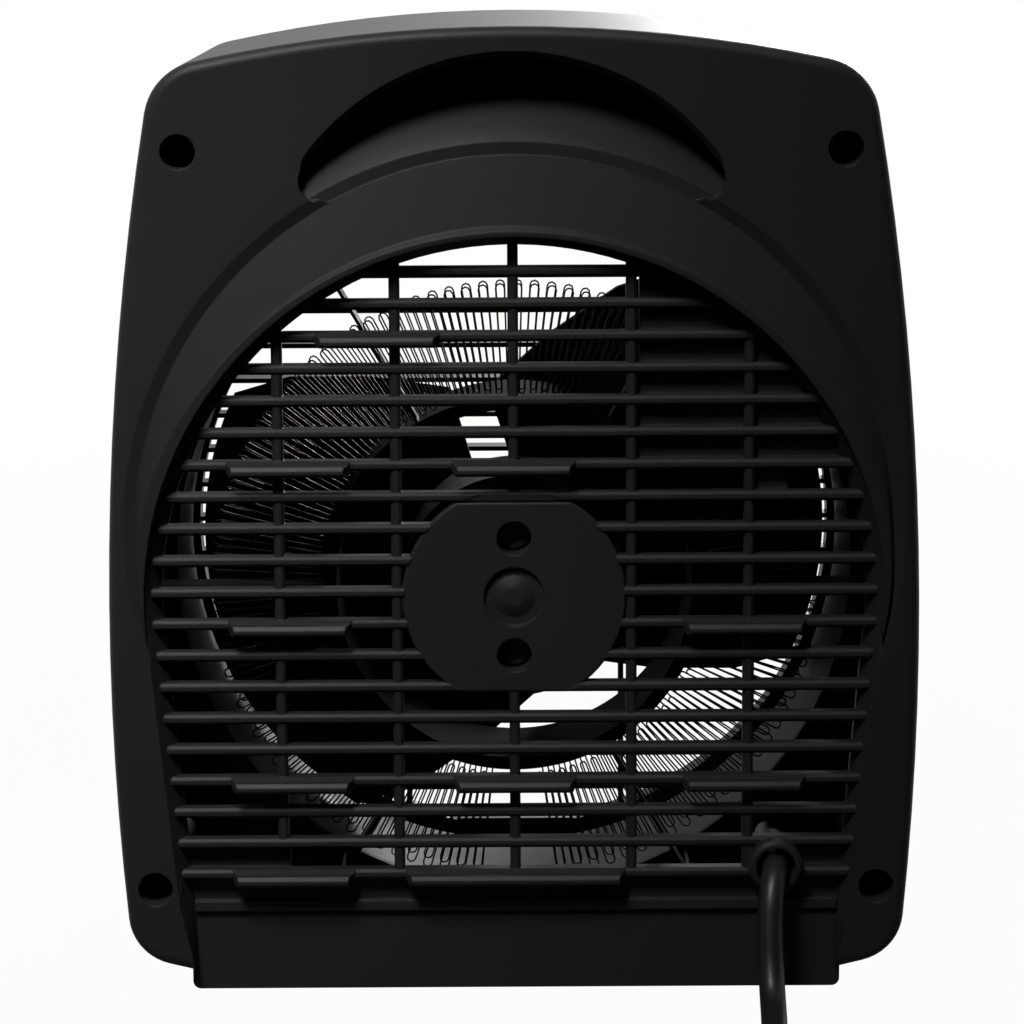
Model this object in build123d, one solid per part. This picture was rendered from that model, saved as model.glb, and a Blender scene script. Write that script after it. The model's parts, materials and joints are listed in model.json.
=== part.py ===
"""Portable fan heater, seen from its back: a moulded two-shell casing round a motor, heating element and fan.

Frame: millimetres, +Z up, +X to the right as seen from the front, +Y towards the back grille.
The origin is on the floor, under the middle of the casing.
"""

from build123d import *
import os
from math import cos, pi, radians, sin, sqrt, tan

# Casing outline, seen from the back
CASE_TOP_Z = 266.7
TOP_ARC_R = 405.0
SIDE_ARC_R = 850.0
HALF_WIDTH = 110.0
WIDEST_Z = 99.5
TOP_CORNER_R = 17.0
BOTTOM_CORNER_R = 14.5
WING_INNER_X = 88.8
WING_INNER_Z = 8.0
WING_SLOPE = 0.24
PEDESTAL_HALF_WIDTH = 89.5
PEDESTAL_TOP_Z = 16.0
PEDESTAL_CORNER_R = 2.2
WALL = 2.5
RECESS_WALL = 2.6

# Levels along Y, from the arch's crest at the back to the knobs at the front
CREST_Y = 64.0
LIP_Y = 62.0
FIELD_Y = 60.0
VALLEY_Y = 58.8
CROWN_Y = 58.0
RIB_CROWN_Y = 57.5
DISC_Y = 57.7
BAR_FLOOR_Y = 54.0
BASE_Y = 54.0
PANEL_Y = 54.1
PANEL_INNER_Y = 51.5
SPLIT_Y = 0.0
FRONT_BASE_Y = -50.0
FRONT_Y = -54.0
KNOB_TIP_Y = -64.0
REAR_EDGE_R = 3.0
FRONT_EDGE = 2.0

# Fan axis, which the rear opening, element, motor and outlet share
AXIS_Z = 112.4

# Rear opening and the raised arch round it
OPENING_R = 95.8
OPENING_SIDE_ANGLE = -7.9
OPENING_LOW_X = 88.4
OPENING_LOW_Z = 26.0
OPENING_BASE_X = 87.5
CREASE_TOP_R = 98.9
CREASE_SIDE_R = 465.0
CREASE_SIDE_Z = 115.0
CREASE_SIDE_X = 100.6
CREST_R = 100.3
CREST_ROUND = 1.4
ARCH_Z = 130.3
ARCH_R = 102.4
VALLEY_WIDTH = 3.2
VALLEY_LOW_Z = 88.0
CREST_FADE_Z = 79.0
CREST_TOP_Z = 211.0

# Handle scoop, its floor given as distance from the arch's middle and depth
SCOOP_Z = 190.7
SCOOP_R = 67.9
SCOOP_TIP_R = 6.0
SCOOP_FLOOR = ((100.9, 61.5), (111.4, 53.0), (122.2, 40.0), (139.0, 34.0))
SCOOP_WALL = 2.2
SCOOP_EDGE = 1.6
SCOOP_INNER_Y = 28.0

# Rear grille
BAR_PITCH = 8.763
BAR_COUNT = 20
LOWEST_BAR_Z = 34.8
BAR_THICK = 2.8
BAR_CHAMFER = 0.75
RIB_WIDTH = 2.9
RIB_PITCH = 31.8
BAR_ANCHOR = 2.6
SILL_Z = (23.7, 26.6)
SILL_Y = 55.4

# Tabs that stand out from the bars: bar number from the bottom, x, root width
TAB_DROP = 1.25
TAB_LIP_HEIGHT = 2.6
TAB_WEB = 2.2
TAB_WIDTH = 33.4
TAB_TAPER = 1.7
WIDE_TAB_WIDTH = 60.0
TABS = (
    (17, 36.4, TAB_WIDTH),
    (13, 60.8, TAB_WIDTH),
    (13, 0.0, TAB_WIDTH),
    (8, 60.8, TAB_WIDTH),
    (8, -62.5, TAB_WIDTH),
    (3, 60.8, TAB_WIDTH),
    (3, 0.0, TAB_WIDTH),
    (3, -62.5, TAB_WIDTH),
    (0, 60.8, TAB_WIDTH),
    (0, 0.0, WIDE_TAB_WIDTH),
)

# Plates behind the bars: inner edge and limits of each
UPPER_PLATE_X = -34.0
UPPER_PLATE_TOP_Z = 199.5
STEP_PLATE_X = (-74.2, -65.8)
LOW_LEFT_PLATE = (61.9, 92.0, 27.0, 43.0)
LOW_RIGHT_PLATE = (-94.0, -78.5, 26.5, 41.5)

# Motor disc in the middle of the grille
DISC_R = 30.4
DISC_FLAT = 26.2
DISC_THICK = 3.0
DISC_EDGE = 0.5
MOTOR_SCREW_DZ = 16.2
WELL_R = 4.7
MOTOR_WELL_Y = 49.0
DIMPLE_R = 8.2
DIMPLE_DEPTH = 1.3
DOME_R = 5.8
DOME_RISE = 1.6

# Corner screws
SCREW_SPOTS = ((88.7, 234.0), (-88.7, 234.0), (98.7, 31.5), (-98.7, 31.5))
BOSS_R = 7.2
WELL_FLOOR_Y = 36.0
REAR_BOSS_END_Y = 27.5
FRONT_BOSS_R = 5.0
SCREW_CLEAR_R = 1.95
SCREW_R = 1.75
SCREW_HEAD_R = 4.0
SCREW_HEAD_H = 2.6
SCREW_LENGTH = 30.0
PILOT_R = 1.8
PILOT_END_Y = 5.0

# Cord and collar
GLAND_X = -71.2
GLAND_Z = 37.3
GLAND_R = 7.4
GLAND_HOLE_R = 5.4
GLAND_Y = 61.5
CLAMP_SIZE = 6.0
CLAMP_THICK = 5.5
CORD_R = 3.5
CORD_SIDES = 8
FLOOR_GAP = 0.05
CORD_Z = CORD_R + FLOOR_GAP
CORD_START_Y = 54.5
CORD_ROUTE = (
    (-71.2, CORD_START_Y, 37.3),
    (-71.2, 59.0, 37.3),
    (-70.4, 64.6, 35.9),
    (-69.3, 68.6, 31.2),
    (-68.7, 71.6, 23.6),
    (-68.8, 75.4, 13.0),
    (-68.9, 81.6, 5.6),
    (-68.4, 92.4, CORD_Z),
    (-66.8, 107.0, CORD_Z),
    (-63.6, 125.0, CORD_Z),
    (-59.3, 144.0, CORD_Z),
    (-55.6, 163.0, CORD_Z),
    (-54.0, 183.0, CORD_Z),
)

# Coil
COIL_STEP = 3.8
COIL_LAYER_RISE = 7.8
COIL_FIRST_X = 46.0
COIL_SIDE = -1
COIL_LOW_TURNS = 5
COIL_HIGH_TURNS = 6
COIL_TAIL = 8.0

# Plug
PLUG_RELIEF_LENGTH = 24.0
PLUG_RELIEF_R = (4.0, 6.4)
PLUG_WIDTH = 26.0
PLUG_HEIGHT = 22.0
PLUG_LENGTH = 32.0
PLUG_NECK = 0.72
PLUG_CHAMFER = 4.0
PLUG_GRIP_LENGTH = 14.4
BLADE_LENGTH = 17.0
BLADE_WIDTH = 6.3
BLADE_THICK = 1.5
BLADE_DX = 6.35
BLADE_DY = 3.5
EARTH_PIN_DY = -7.5
EARTH_PIN_R = 2.4
EARTH_PIN_EXTRA = 2.0

# Baffle plate and reflector
BAFFLE_Y = (11.05, 13.05)
BAFFLE_HOLE_R = 96.2
BAFFLE_TOP_Z = 216.0
BAFFLE_BOTTOM_Z = 12.0
BAFFLE_POST_X = 102.0
BAFFLE_POST_Z = 131.0
BAFFLE_POST_R = (1.2, 3.4)
REFLECTOR_R = 96.9
REFLECTOR_WALL = 0.7
REFLECTOR_Y = (-33.0, 11.0)
EAR_ANGLES = (205.0, 335.0, 245.0, 295.0)
EAR_REACH = 4.0
EAR_HOLE_R = 1.4
SMALL_SCREW_R = 1.15
SMALL_HEAD_R = 2.6
CUTOUT_ANGLE = 222.0
FUSE_ANGLE = 318.0

# Heating element
ELEMENT_R = (53.5, 84.0)
ELEMENT_TEETH = 110
BACK_TEETH = 36
WIRE_START = 275.0
WIRE_SPAN = 350.0
WIRE_WIDTH = 0.5
WIRE_THICK = 0.5
WIRE_LEVELS = (43.0, 35.0)
INNER_RING_R = (49.0, 52.5)
INNER_RING_Y = (12.0, 42.7)
SPOKE_COUNT = 6
SPOKE_THICK = 0.9
SPOKE_END_R = 101.5
SPOKE_LEG = 3.6
SEAT_GAP = 0.05

# Motor
CAN_R = 31.0
CAN_WALL = 0.9
CAN_Y = (14.0, 44.0)
STATOR_R = (14.4, 29.6)
STATOR_Y = (19.0, 34.0)
ROTOR_R = 14.0
SHAFT_R = 2.5
SHAFT_Y = (-42.0, 42.0)
BEARING_R = 5.5
BEARING_LENGTH = 6.0
BEARING_CLEAR = 0.03
STATOR_YOKE = 4.0
POLE_WIDTH = 8.0
VENT_COUNT = 4
MOTOR_SCREW_LENGTH = 9.5

# Fan: radius, chord and pitch of each blade section
IMPELLER_R = 93.0
IMPELLER_Y = -30.0
HUB_R = 10.0
HUB_LENGTH = 16.0
BLADE_ANGLES = (-17.0, 163.0)
BLADE_STATIONS = ((6.0, 94.0, 15.0), (28.0, 114.0, 12.5), (51.0, 128.0, 11.0), (95.0, 129.0, 10.5))
FAN_BLADE_THICK = 1.6
BLADE_CAMBER = 0.03

# Outlet grille in the front shell
OUTLET_HOLE_R = 95.4
OUTLET_RING_R = (95.0, 99.0)
OUTLET_RING_Y = (-51.4, -44.0)
SLAT_PITCH = 10.56
SLAT_LOWEST_Z = 18.6
SLAT_COUNT = 18
SLAT_THICK = 1.4
SLAT_Y = (-51.2, -44.7)
OUTLET_RIB_X = (-72.5, -32.5, 32.5, 72.5)
OUTLET_RIB_WIDTH = 1.6

# Controls on the front
CONTROL_Z = 232.0
CONTROL_X = 42.0
KNOB_R = 16.5
KNOB_BACK_Y = -54.4
KNOB_SKIRT = 3.6
GRIP_WIDTH = 8.0
KNOB_SHAFT_R = 3.0
CONTROL_BODY = 26.0
NECK_R = 4.1
SHAFT_END_Y = -38.0
LAMP_R = 2.6
LAMP_LEAD = 0.6
LAMP_LEAD_X = 1.2
LENS_BACK_Y = -42.0
LENS_Z = 234.0
LENS_R = 4.0

# Wiring inside
BLOCK_X = (-52.0, -24.0)
BLOCK_Y = (18.0, 32.0)
TAIL_Y = 30.0
LEAD_R = 1.3
LEAD_SIDES = 6
LEAD_ROUTES = (
    ((-71.2, 29.5, 37.3), (-71.2, 24.5, 36.0), (-68.0, 24.0, 21.0), (-61.0, 25.0, 9.5), (-52.1, 25.0, 8.6)),
    ((-23.9, 25.0, 8.6), (-12.0, 22.0, 8.2), (14.0, 10.0, 7.6), (56.0, -4.0, 9.0), (80.0, -12.0, 21.0),
     (98.0, -22.0, 54.0), (101.5, -30.0, 112.0), (100.0, -32.0, 168.0), (86.0, -30.0, 208.0),
     (64.0, -24.0, 225.0), (49.0, -22.5, 231.0)),
)

# Feet
FOOT_X = 73.5
FOOT_WIDTH = 1.4
FOOT_HEIGHT = 1.1
FOOT_Y = 49.0


def at_level(sketch, y):
    """Stand a sketch drawn in X and Z upright, facing the front, at depth y."""
    return Plane.XZ.offset(-y) * sketch


def slab(sketch, y0, y1):
    """Fill an upright sketch from depth y0 to the deeper y1."""
    return extrude(at_level(sketch, y1), y1 - y0)


def rod(x, z, radius, y0, y1):
    """A round bar along Y."""
    return slab(Pos(x, z) * Circle(radius), y0, y1)


def tube(x, z, inner, outer, y0, y1):
    """A round sleeve along Y."""
    return slab(Pos(x, z) * (Circle(outer) - Circle(inner)), y0, y1)


def block(x0, x1, y0, y1, z0, z1):
    """A box between two corners."""
    middle = ((x0 + x1) / 2, (y0 + y1) / 2, (z0 + z1) / 2)
    return Pos(*middle) * Box(x1 - x0, y1 - y0, z1 - z0)


def one(shape):
    """The single solid of a shape that has just one."""
    solids = shape.solids()
    assert len(solids) == 1, len(solids)
    return solids[0]


def case_sketch(inset=0.0):
    """The casing's outline: a crowned top, bowed sides and wings that rise a little from the base."""
    side = SIDE_ARC_R - HALF_WIDTH
    left = Pos(side, WIDEST_Z) * Circle(SIDE_ARC_R - inset)
    right = Pos(-side, WIDEST_Z) * Circle(SIDE_ARC_R - inset)
    top = Pos(0, CASE_TOP_Z - TOP_ARC_R) * Circle(TOP_ARC_R - inset)
    reach = HALF_WIDTH + 20
    low_z = WING_INNER_Z + inset
    wing_z = low_z + WING_SLOPE * (reach - WING_INNER_X)
    below = Polyline(
        (-reach, wing_z),
        (-WING_INNER_X, low_z),
        (WING_INNER_X, low_z),
        (reach, wing_z),
        (reach, CASE_TOP_Z + 20),
        (-reach, CASE_TOP_Z + 20),
        close=True,
    )
    outline = left & right & top & make_face(below)
    high = [v for v in outline.vertices() if v.Y > AXIS_Z]
    outline = fillet(high, TOP_CORNER_R - inset)
    low = [v for v in outline.vertices() if abs(v.X) > WING_INNER_X + 5 and v.Y < AXIS_Z]
    return fillet(low, BOTTOM_CORNER_R - inset)


def pedestal_sketch(inset=0.0):
    """The base that the heater stands on, between the wings."""
    width = 2 * (PEDESTAL_HALF_WIDTH - inset)
    height = PEDESTAL_TOP_Z - FOOT_HEIGHT - inset
    base = Pos(0, PEDESTAL_TOP_Z - height / 2) * Rectangle(width, height)
    low = base.vertices().sort_by(Axis.Y)[:2]
    return fillet(low, max(PEDESTAL_CORNER_R - inset, 0.4))


def opening_sketch(grow=0.0, low_z=OPENING_LOW_Z):
    """The grille's opening: an arch over sides that lean in to the sill."""
    angle = radians(OPENING_SIDE_ANGLE)
    side = ((OPENING_R + grow) * cos(angle), AXIS_Z + (OPENING_R + grow) * sin(angle))
    crown = (0, AXIS_Z + OPENING_R + grow)
    low = (OPENING_LOW_X + grow, low_z)
    arch = ThreePointArc((-side[0], side[1]), crown, side)
    legs = Polyline(side, low, (-low[0], low[1]), (-side[0], side[1]))
    return make_face(arch + legs)


def recess_floor_sketch():
    """The recess's outline at the level of the grille and the base."""
    angle = radians(OPENING_SIDE_ANGLE)
    side = (OPENING_R * cos(angle), AXIS_Z + OPENING_R * sin(angle))
    crown = (0, AXIS_Z + OPENING_R)
    return recess_outline(side, crown, OPENING_LOW_X, OPENING_BASE_X)


def crease_x(z):
    """Where the field meets the recess's slope at height z, beside the grille."""
    centre = CREASE_SIDE_X - CREASE_SIDE_R
    return centre + sqrt(CREASE_SIDE_R**2 - (CREASE_SIDE_Z - z) ** 2)


def recess_field_sketch(grow=0.0):
    """The recess's outline where it meets the field."""
    angle = radians(OPENING_SIDE_ANGLE)
    z = AXIS_Z + OPENING_R * sin(angle)
    side = (crease_x(z) - 1.0 + grow, z)
    crown = (0, AXIS_Z + CREASE_TOP_R + grow)
    return recess_outline(side, crown, crease_x(OPENING_LOW_Z) + grow, crease_x(-1.0) + grow)


def recess_outline(side, crown, low_x, base_x):
    """An outline of the recess, from its side points, crown, sill corners and foot."""
    below = -2.0
    arch = ThreePointArc((-side[0], side[1]), crown, side)
    legs = Polyline(
        side,
        (low_x, OPENING_LOW_Z),
        (base_x, below),
        (-base_x, below),
        (-low_x, OPENING_LOW_Z),
        (-side[0], side[1]),
    )
    return make_face(arch + legs)


def recess_cutter():
    """The space that the grille and base sit back in, with its leaning walls."""
    floor = at_level(recess_floor_sketch(), BAR_FLOOR_Y)
    field = at_level(recess_field_sketch(), FIELD_Y)
    over = at_level(recess_field_sketch(CREST_R - CREASE_TOP_R - CREST_ROUND), CREST_Y + 1.0)
    lower = loft([floor, field], ruled=True)
    upper = loft([field, over], ruled=True)
    return lower + upper


def scoop_sketch(grow=0.0, grow_low=0.0):
    """The finger scoop's crescent, over the arch."""
    crescent = Pos(0, SCOOP_Z) * Circle(SCOOP_R + grow) - Pos(0, ARCH_Z) * Circle(ARCH_R - grow_low)
    tips = crescent.vertices()
    return fillet(tips, SCOOP_TIP_R + grow)


def scoop_floor(drop=0.0):
    """Everything behind the scoop's curved floor, turned about the arch's middle."""
    points = [(rho + drop * 0.4, y - drop) for rho, y in SCOOP_FLOOR]
    plane = Plane(origin=(0, 0, ARCH_Z), x_dir=(0, 0, 1), z_dir=(-1, 0, 0))
    bend = Spline(*points)
    rest = Polyline(points[-1], (points[-1][0], 80), (points[0][0], 80), points[0])
    profile = plane * make_face(bend + rest)
    return revolve(profile, Axis((0, 0, ARCH_Z), (0, 1, 0)), 360)


def scoop_cutter():
    """The scoop itself, with its upper edge broken."""
    low = at_level(scoop_sketch(), FIELD_Y - SCOOP_EDGE)
    high = at_level(scoop_sketch(2 * SCOOP_EDGE), FIELD_Y + SCOOP_EDGE)
    return (slab(scoop_sketch(), SCOOP_INNER_Y, 80) & scoop_floor()) + loft([low, high], ruled=True)


def scoop_shell():
    """The scoop with its wall, before it is cut."""
    return slab(scoop_sketch(SCOOP_WALL, SCOOP_WALL), SCOOP_INNER_Y, FIELD_Y - 1) & scoop_floor(SCOOP_WALL)


def arch_cone():
    """The raised arch, from its valley up to its crest, lower towards the sides."""
    valley = at_level(Pos(0, ARCH_Z) * Circle(ARCH_R), VALLEY_Y)
    shoulder = at_level(Pos(0, AXIS_Z) * Circle(CREST_R + CREST_ROUND), CREST_Y - CREST_ROUND)
    crest = at_level(Pos(0, AXIS_Z) * Circle(CREST_R), CREST_Y)
    cone = loft([valley, shoulder], ruled=True) + loft([shoulder, crest], ruled=True)
    fall = (CREST_Y - FIELD_Y) / (CREST_TOP_Z - CREST_FADE_Z)
    low_y = CREST_Y - fall * (CREST_TOP_Z + 10)
    plane = Plane(origin=(0, 0, 0), x_dir=(0, 1, 0), z_dir=(1, 0, 0))
    side = Polyline(
        (40, -10),
        (low_y - fall * 10, -10),
        (CREST_Y + fall * 30, CREST_TOP_Z + 30),
        (40, CREST_TOP_Z + 30),
        close=True,
    )
    under = extrude(plane * make_face(side), HALF_WIDTH + 10, both=True)
    return cone & under


def valley_cutter():
    """The shallow dish that the field falls into round the arch."""
    low = at_level(Pos(0, ARCH_Z) * Circle(ARCH_R - 0.5), VALLEY_Y)
    high_y = FIELD_Y + 0.4
    grow = VALLEY_WIDTH * (high_y - VALLEY_Y) / (FIELD_Y - VALLEY_Y)
    high = at_level(Pos(0, ARCH_Z) * Circle(ARCH_R + grow), high_y)
    keep = block(-HALF_WIDTH, HALF_WIDTH, 0, 80, VALLEY_LOW_Z, CASE_TOP_Z)
    return loft([low, high], ruled=True) & keep


def rear_form():
    """The rear shell's outside, solid."""
    body = slab(case_sketch(), SPLIT_Y, FIELD_Y)
    rim = body.faces().sort_by(Axis.Y)[-1].edges()
    body = fillet(rim, REAR_EDGE_R)
    body = body - valley_cutter()
    body = body + arch_cone()
    foot = slab(pedestal_sketch(), SPLIT_Y, BASE_Y)
    return body + foot


def rear_hollow():
    """The rear shell's inside."""
    room = slab(case_sketch(WALL), SPLIT_Y, PANEL_INNER_Y)
    base_room = slab(pedestal_sketch(WALL), SPLIT_Y, PANEL_INNER_Y)
    deep = slab(case_sketch(WALL + 1.0), SPLIT_Y, FIELD_Y - WALL)
    deep = deep - slab(recess_field_sketch(RECESS_WALL), SPLIT_Y, FIELD_Y)
    return room + base_room + deep


def bar_z(number):
    """Height of a horizontal bar's middle, counted from the bottom."""
    return LOWEST_BAR_Z + number * BAR_PITCH


def horizontal_bar(number):
    """One bar with a chamfered crown, wider than the opening."""
    z = bar_z(number)
    half = BAR_THICK / 2
    shoulder = CROWN_Y - BAR_CHAMFER
    plane = Plane(origin=(0, 0, 0), x_dir=(0, 1, 0), z_dir=(1, 0, 0))
    section = Polyline(
        (BAR_FLOOR_Y, z - half),
        (shoulder, z - half),
        (CROWN_Y, z - half + BAR_CHAMFER),
        (CROWN_Y, z + half - BAR_CHAMFER),
        (shoulder, z + half),
        (BAR_FLOOR_Y, z + half),
        close=True,
    )
    return extrude(plane * make_face(section), HALF_WIDTH, both=True)


def upright_rib(x, z0, z1):
    """One vertical rib with a chamfered crown."""
    half = RIB_WIDTH / 2
    shoulder = RIB_CROWN_Y - BAR_CHAMFER
    section = Polyline(
        (x - half, BAR_FLOOR_Y),
        (x - half, shoulder),
        (x - half + BAR_CHAMFER, RIB_CROWN_Y),
        (x + half - BAR_CHAMFER, RIB_CROWN_Y),
        (x + half, shoulder),
        (x + half, BAR_FLOOR_Y),
        close=True,
    )
    return extrude(Plane.XY.offset(z0) * make_face(section), z1 - z0)


def grille_bars():
    """All bars and ribs, cut to the opening so that their ends sit in its wall."""
    bars = [horizontal_bar(number) for number in range(BAR_COUNT)]
    lowest = bar_z(0)
    top = AXIS_Z + OPENING_R + BAR_ANCHOR
    ribs = [upright_rib(x * RIB_PITCH, lowest, top) for x in (-1, 0, 1)]
    ribs.append(upright_rib(2 * RIB_PITCH, bar_z(1), top))
    ribs.append(upright_rib(-2 * RIB_PITCH, lowest, top))
    grid = bars[0].fuse(*bars[1:], *ribs)
    reach = slab(opening_sketch(BAR_ANCHOR), BAR_FLOOR_Y - 1, CROWN_Y + 1)
    return grid & reach


def tab(number, x, width):
    """A tab that steps down from its bar and stands out to a thicker lip."""
    z = bar_z(number)
    top = z + BAR_THICK / 2
    lip_top = top - TAB_DROP
    lip_y = LIP_Y - TAB_LIP_HEIGHT
    round_off = 0.8
    plane = Plane(origin=(x, 0, 0), x_dir=(0, 1, 0), z_dir=(1, 0, 0))
    section = Polyline(
        (CROWN_Y - 2.5, top),
        (CROWN_Y - 0.5, top),
        (lip_y, lip_top + 0.3),
        (LIP_Y - round_off, lip_top + 0.3),
        (LIP_Y, lip_top - round_off),
        (LIP_Y, lip_top - TAB_LIP_HEIGHT + round_off),
        (LIP_Y - round_off, lip_top - TAB_LIP_HEIGHT),
        (lip_y, lip_top - TAB_LIP_HEIGHT),
        (lip_y, lip_top - TAB_WEB),
        (CROWN_Y - 2.5, top - TAB_WEB),
        close=True,
    )
    body = extrude(plane * make_face(section), width, both=True)
    half = width / 2
    plan = Polyline(
        (x - half, CROWN_Y - 3),
        (x - half, CROWN_Y),
        (x - half + TAB_TAPER, LIP_Y + 0.1),
        (x + half - TAB_TAPER, LIP_Y + 0.1),
        (x + half, CROWN_Y),
        (x + half, CROWN_Y - 3),
        close=True,
    )
    return body & extrude(Plane.XY.offset(z - 10) * make_face(plan), 20)


def motor_disc_sketch():
    """The disc that carries the motor, with its two flats."""
    return Pos(0, AXIS_Z) * (Circle(DISC_R) & Rectangle(2 * DISC_R, 2 * DISC_FLAT))


def motor_bosses():
    """The two sleeves that the motor's screws pass through."""
    sleeves = []
    for side in (-1, 1):
        sleeves.append(rod(0, AXIS_Z + side * MOTOR_SCREW_DZ, WELL_R + 1.6, CAN_Y[1] + 0.05, DISC_Y - 1))
    return sleeves


def dimple():
    """The dished middle of the disc, with its low dome."""
    well = rod(0, AXIS_Z, DIMPLE_R, DISC_Y - DIMPLE_DEPTH, DISC_Y + 5)
    ball_r = (DOME_R**2 + DOME_RISE**2) / (2 * DOME_RISE)
    middle_y = DISC_Y - DIMPLE_DEPTH + DOME_RISE - ball_r
    return well - Pos(0, middle_y, AXIS_Z) * Sphere(ball_r)


def patch(x0, x1, z0, z1):
    """A rectangle between two corners."""
    return Pos((x0 + x1) / 2, (z0 + z1) / 2) * Rectangle(x1 - x0, z1 - z0)


def blanking_plates():
    """Plates moulded just behind the bars, which close parts of the opening."""
    reach = opening_sketch(1.5)
    upper = patch(-HALF_WIDTH, UPPER_PLATE_X, bar_z(13), UPPER_PLATE_TOP_Z)
    step = patch(*STEP_PLATE_X, bar_z(12), bar_z(13) + BAR_THICK)
    low_left = patch(*LOW_LEFT_PLATE)
    low_right = patch(*LOW_RIGHT_PLATE)
    sill = patch(-OPENING_LOW_X, OPENING_LOW_X, OPENING_LOW_Z - 1, bar_z(0))
    plate = (upper & reach) + step + (low_left & reach) + (low_right & reach) + sill
    return slab(plate, PANEL_INNER_Y, PANEL_Y)


def corner_bosses():
    """Sleeves round the four deep screw wells."""
    return [rod(x, z, BOSS_R, REAR_BOSS_END_Y, FIELD_Y - 1) for x, z in SCREW_SPOTS]


def corner_holes():
    """The wells and their screw holes."""
    wells = [rod(x, z, WELL_R, WELL_FLOOR_Y, FIELD_Y + 8) for x, z in SCREW_SPOTS]
    holes = [rod(x, z, SCREW_CLEAR_R, REAR_BOSS_END_Y - 1, WELL_FLOOR_Y + 1) for x, z in SCREW_SPOTS]
    return wells + holes


def baffle_posts():
    """Two posts on the rear shell that the baffle is screwed to."""
    posts = []
    for side in (-1, 1):
        x = side * BAFFLE_POST_X
        post = tube(x, BAFFLE_POST_Z, *BAFFLE_POST_R, BAFFLE_Y[1], PANEL_INNER_Y + 1)
        posts.append(post)
    return posts


def foot_ribs(y0, y1):
    """Two thin runners under the base."""
    ribs = []
    for side in (-1, 1):
        x = side * FOOT_X
        ribs.append(block(x - FOOT_WIDTH / 2, x + FOOT_WIDTH / 2, y0, y1, 0, FOOT_HEIGHT + 0.5))
    return ribs


def rear_housing():
    """The moulded rear shell: arch, scoop, grille, tabs, motor disc, screw bosses and cord collar."""
    case = slab(case_sketch(0.4), SPLIT_Y, FIELD_Y)
    shell = rear_form() - recess_cutter() - rear_hollow()
    shell = shell.fuse(scoop_shell() & case, *[boss & case for boss in corner_bosses()])
    shell = shell - slab(opening_sketch(), PANEL_INNER_Y - 10, CREST_Y + 2)
    shell = shell - scoop_cutter()
    shell = shell.cut(*corner_holes())
    disc = slab(motor_disc_sketch(), DISC_Y - DISC_THICK, DISC_Y)
    disc = chamfer(disc.edges().group_by(Axis.Y)[-1], DISC_EDGE)
    grid = grille_bars() - rod(0, AXIS_Z, DISC_R - 0.6, DISC_Y, CROWN_Y + 1)
    sill = block(-OPENING_LOW_X, OPENING_LOW_X, PANEL_INNER_Y, SILL_Y, *SILL_Z)
    collar = rod(GLAND_X, GLAND_Z, GLAND_R, PANEL_INNER_Y - 1.5, GLAND_Y)
    collar = chamfer(collar.edges().group_by(Axis.Y)[-1], 1.0)
    tabs = [tab(*spec) for spec in TABS]
    shell = shell.fuse(grid, disc, sill, collar, blanking_plates(), *tabs, *motor_bosses())
    shell = shell.fuse(*baffle_posts(), *foot_ribs(SPLIT_Y, FOOT_Y))
    shell = shell - rod(GLAND_X, GLAND_Z, GLAND_HOLE_R, PANEL_INNER_Y - 4, GLAND_Y + 4)
    cuts = [dimple()]
    for side in (-1, 1):
        z = AXIS_Z + side * MOTOR_SCREW_DZ
        cuts.append(rod(0, z, WELL_R, MOTOR_WELL_Y, DISC_Y + 4))
        cuts.append(rod(0, z, SCREW_CLEAR_R, CAN_Y[1] - 2, MOTOR_WELL_Y + 1))
    return shell.cut(*cuts)


def front_form():
    """The front shell's outside, solid."""
    body = slab(case_sketch(), FRONT_Y, SPLIT_Y)
    rim = body.faces().sort_by(Axis.Y)[0].edges()
    body = chamfer(rim, FRONT_EDGE)
    foot = slab(pedestal_sketch(), FRONT_BASE_Y, SPLIT_Y)
    return body + foot


def front_hollow():
    """The front shell's inside."""
    room = slab(case_sketch(WALL), FRONT_Y + WALL, SPLIT_Y)
    base_room = slab(pedestal_sketch(WALL), FRONT_BASE_Y + WALL, SPLIT_Y)
    return room + base_room


def front_housing():
    """The moulded front shell: outlet rim, control strip, screw pillars and base."""
    shell = front_form() - front_hollow()
    pillars = [rod(x, z, FRONT_BOSS_R, FRONT_Y + 2, REAR_BOSS_END_Y - 0.2) for x, z in SCREW_SPOTS]
    shell = shell.fuse(*pillars, *foot_ribs(-FOOT_Y, SPLIT_Y))
    cuts = [rod(0, AXIS_Z, OUTLET_HOLE_R, FRONT_Y - 1, FRONT_Y + WALL + 1)]
    for x, z in SCREW_SPOTS:
        cuts.append(rod(x, z, PILOT_R, PILOT_END_Y, REAR_BOSS_END_Y + 1))
    for side in (-1, 1):
        cuts.append(rod(side * CONTROL_X, CONTROL_Z, NECK_R + 0.1, FRONT_Y - 1, FRONT_Y + WALL + 1))
    cuts.append(rod(0, LENS_Z, LENS_R + 0.05, FRONT_Y - 1, FRONT_Y + WALL + 1))
    return shell.cut(*cuts)


def front_grille():
    """Outlet grille: a ring with thin level slats and a few upright ribs in its lower half."""
    inner, outer = OUTLET_RING_R
    ring = tube(0, AXIS_Z, inner, outer, *OUTLET_RING_Y)
    disc = rod(0, AXIS_Z, inner + 1, SLAT_Y[0] - 1, SLAT_Y[1] + 1)
    bars = []
    for number in range(SLAT_COUNT):
        z = SLAT_LOWEST_Z + number * SLAT_PITCH
        half = SLAT_THICK / 2
        bars.append(block(-outer, outer, *SLAT_Y, z - half, z + half))
    for x in OUTLET_RIB_X:
        half = OUTLET_RIB_WIDTH / 2
        bars.append(block(x - half, x + half, SLAT_Y[0] + 1, SLAT_Y[1] - 1, 0, AXIS_Z))
    grid = bars[0].fuse(*bars[1:]) & disc
    return one(ring.fuse(*grid.solids()))


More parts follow.
